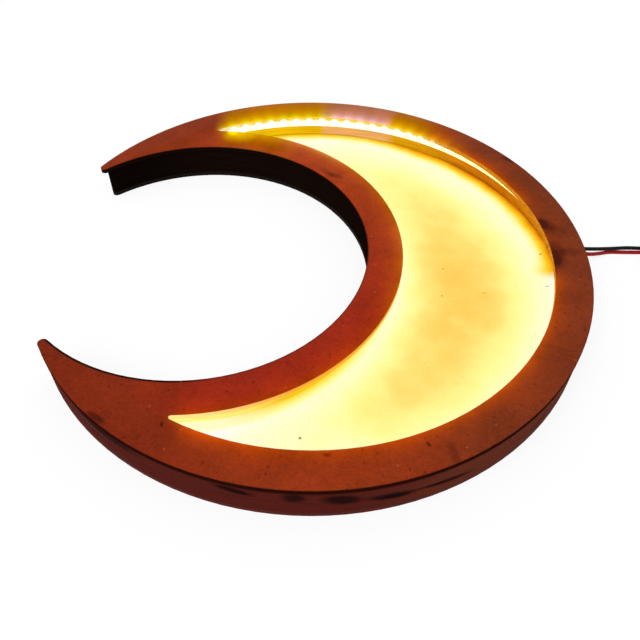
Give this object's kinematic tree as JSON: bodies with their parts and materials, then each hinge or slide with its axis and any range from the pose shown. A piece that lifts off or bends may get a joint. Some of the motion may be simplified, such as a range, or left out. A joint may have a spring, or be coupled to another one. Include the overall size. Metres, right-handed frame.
{
  "type": "crescent moon led shadow box",
  "caption": "Crescent moon shadow box of layered brown MDF, with a crescent window, an LED strip on the inside of its outer wall and two leads to a DC socket.",
  "frame": {"origin": "on the table under the middle of the box round the moon, leads left out", "axes": "+Z out of the front face, horns towards -X, leads leave towards +X, +Y along the moon's height"},
  "size_m": [0.3273, 0.27, 0.02],
  "materials": {
    "mdf_face": "smooth red-brown MDF face, satin",
    "mdf_edge": "laser-cut MDF edge, darkened, matt",
    "adhesive_tape": "double-sided tape, matt",
    "led_strip": "white flexible circuit board with warm white LED packages",
    "black_insulation": "glossy PVC insulation",
    "red_insulation": "glossy PVC insulation",
    "nylon": "black nylon, satin",
    "moulded_plastic": "moulded black PVC, fine grain",
    "nickel": "nickel plate",
    "brass": "turned brass"
  },
  "bodies": {
    "root": {"front_panel": "mdf_face", "upper_spacer_ring": "mdf_edge", "lower_spacer_ring": "mdf_edge", "back_panel": "mdf_face", "strip_tape": "adhesive_tape", "led_strip": "led_strip", "black_lead_inside": "black_insulation", "red_lead_inside": "red_insulation", "black_lead_run": "black_insulation", "red_lead_run": "red_insulation", "black_lead_coil": "black_insulation", "red_lead_coil": "red_insulation", "black_lead_tail": "black_insulation", "red_lead_tail": "red_insulation", "coil_tie": "nylon", "socket_body": "moulded_plastic", "socket_sleeve": "nickel", "socket_pin": "brass"}
  },
  "joints": []
}
